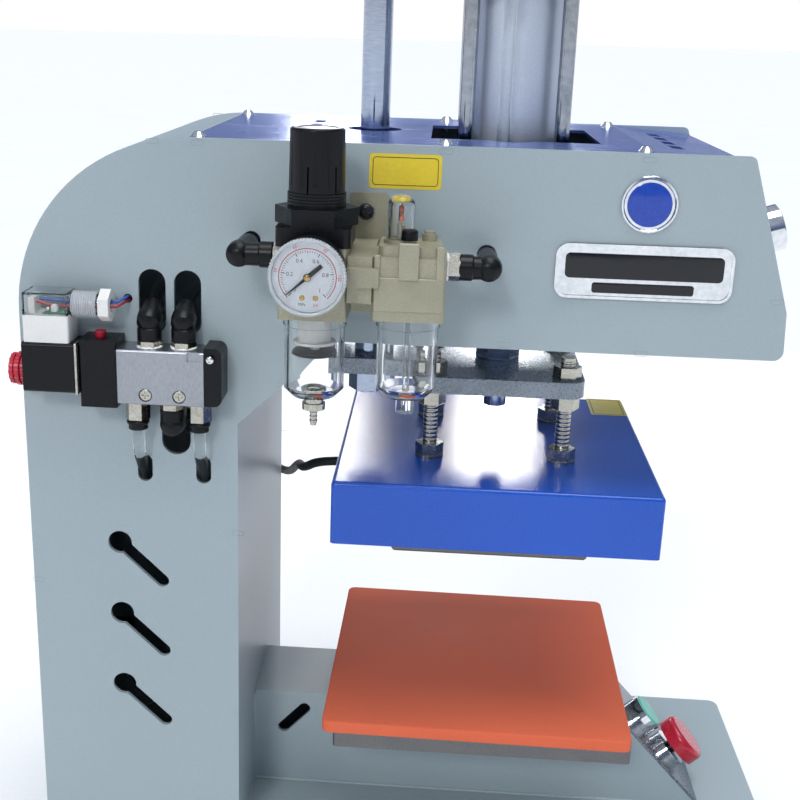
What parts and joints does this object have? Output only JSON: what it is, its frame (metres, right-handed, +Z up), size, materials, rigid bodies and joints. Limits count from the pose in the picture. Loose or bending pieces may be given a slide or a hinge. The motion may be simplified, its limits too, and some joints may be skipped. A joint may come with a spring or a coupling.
{
  "type": "pneumatic heat press",
  "caption": "Bench-top C-frame heat press: an air cylinder drives a heated plate down onto a padded platen, with a solenoid valve, a filter regulator and a lubricator on its side.",
  "frame": {"origin": "on the bench, in the middle of the four bench bolt holes", "axes": "+X to the front of the machine, +Y away from the side with the valve, +Z up"},
  "size_m": [0.552, 0.3722, 0.714],
  "materials": {
    "plate_paint": "satin fine-texture powder coat",
    "bright_steel": "brushed",
    "zinc": "zinc plated",
    "chrome": "polished",
    "ground_rod": "ground",
    "black_plate": "satin",
    "aluminium": "satin anodised",
    "blue_paint": "satin powder coat",
    "hot_plate": "machined",
    "silicone": "matt",
    "rubber_black": "matt",
    "plastic_black": "satin",
    "plastic_red": "gloss",
    "plastic_green": "gloss",
    "plastic_white": "matt",
    "plastic_clear": "clear",
    "die_cast": "champagne powder coat",
    "brass": "turned",
    "label": "satin film",
    "insulation": "matt board",
    "wire": "satin"
  },
  "bodies": {
    "frame": {"side_plate_near": "plate_paint", "side_plate_far": "plate_paint", "top_plate": "bright_steel", "rear_cover": "plate_paint", "front_panel": "plate_paint", "underside_sheet": "plate_paint", "mount_plate": "black_plate", "guide_bush": "brass", "cylinder_barrel": "aluminium", "cylinder_caps": "aluminium", "tie_rods": "zinc", "base_box": "plate_paint", "base_feet": "rubber_black", "neck_box": "plate_paint", "nose_panel": "black_plate", "button_bezels": "chrome", "lower_platen": "aluminium", "silicone_pad": "silicone", "controller": "plastic_black", "frame_ports": "zinc", "power_inlet": "plastic_black", "valve_body": "aluminium", "valve_ends": "plastic_black", "solenoid_coil": "plastic_black", "coil_nut": "plastic_red", "din_connector": "plastic_white", "din_hood": "plastic_clear", "coil_wires": "wire", "hex_fittings": "zinc", "push_elbows": "plastic_black", "valve_tubes": "plastic_clear", "frl_bracket": "die_cast", "regulator_body": "die_cast", "regulator_bonnet": "plastic_black", "gauge_case": "plastic_black", "frl_bowls": "plastic_clear", "filter_element": "plastic_white", "lubricator_body": "die_cast", "sight_dome": "plastic_clear", "top_screws": "chrome", "pan_screws": "zinc", "name_plates": "label", "heater_lead": "rubber_black"},
    "press_head": {"piston_rod": "ground_rod", "carrier_plate": "black_plate", "guide_rod": "ground_rod", "head_studs": "zinc", "heater_cover": "blue_paint", "insulation_board": "insulation", "heating_plate": "hot_plate", "cover_gland": "plastic_black"},
    "start_button": {"start_button": "plastic_green"},
    "front_button": {"front_button": "chrome"},
    "stop_stem": {"stop_stem": "plastic_black"},
    "stop_button": {"stop_button": "plastic_red"},
    "override_button": {"override_button": "brass"},
    "regulator_spindle": {"regulator_spindle": "zinc"},
    "regulator_knob": {"regulator_knob": "plastic_black"},
    "gauge_needle": {"gauge_needle": "plastic_black"},
    "filter_drain": {"filter_drain": "zinc"}
  },
  "joints": [
    {"name": "head_slide", "type": "slide", "parent": "frame", "child": "press_head", "axis": [0, 0, -1], "range_m": [0, 0.132], "deforming": ["heater_lead"]},
    {"name": "start_press", "type": "slide", "parent": "frame", "child": "start_button", "axis": [-0.7314, 0, -0.682], "range_m": [0, 0.0035], "stiffness_N_per_m": 700},
    {"name": "front_press", "type": "slide", "parent": "frame", "child": "front_button", "axis": [-0.9538, 0, -0.3003], "range_m": [0, 0.0035], "stiffness_N_per_m": 700},
    {"name": "stop_press", "type": "slide", "parent": "frame", "child": "stop_stem", "axis": [-0.7314, 0, -0.682], "range_m": [0, 0.004]},
    {"name": "stop_twist", "type": "hinge", "parent": "stop_stem", "child": "stop_button", "pos_m": [0.20213, 0, 0.09724], "axis": [-0.7314, 0, -0.682], "range_deg": [0, 30], "stiffness_Nm_per_rad": 0.05},
    {"name": "override_press", "type": "slide", "parent": "frame", "child": "override_button", "axis": [0, 0, -1], "range_m": [0, 0.002], "stiffness_N_per_m": 500},
    {"name": "knob_turn", "type": "hinge", "parent": "frame", "child": "regulator_spindle", "pos_m": [-0.067, -0.156, 0.55], "axis": [0, 0, -1], "range_deg": [0, 1080]},
    {"name": "knob_lift", "type": "slide", "parent": "regulator_spindle", "child": "regulator_knob", "axis": [0, 0, 1], "range_m": [0, 0.003]},
    {"name": "needle_turn", "type": "hinge", "parent": "frame", "child": "gauge_needle", "pos_m": [-0.067, -0.2, 0.507], "axis": [0, 1, 0], "range_deg": [0, 270]},
    {"name": "drain_turn", "type": "hinge", "parent": "frame", "child": "filter_drain", "pos_m": [-0.067, -0.156, 0.42], "axis": [0, 0, 1], "range_deg": [0, 90]}
  ],
  "couplings": [
    {"joint": "needle_turn", "follows": "knob_turn", "ratio": 0.25}
  ]
}
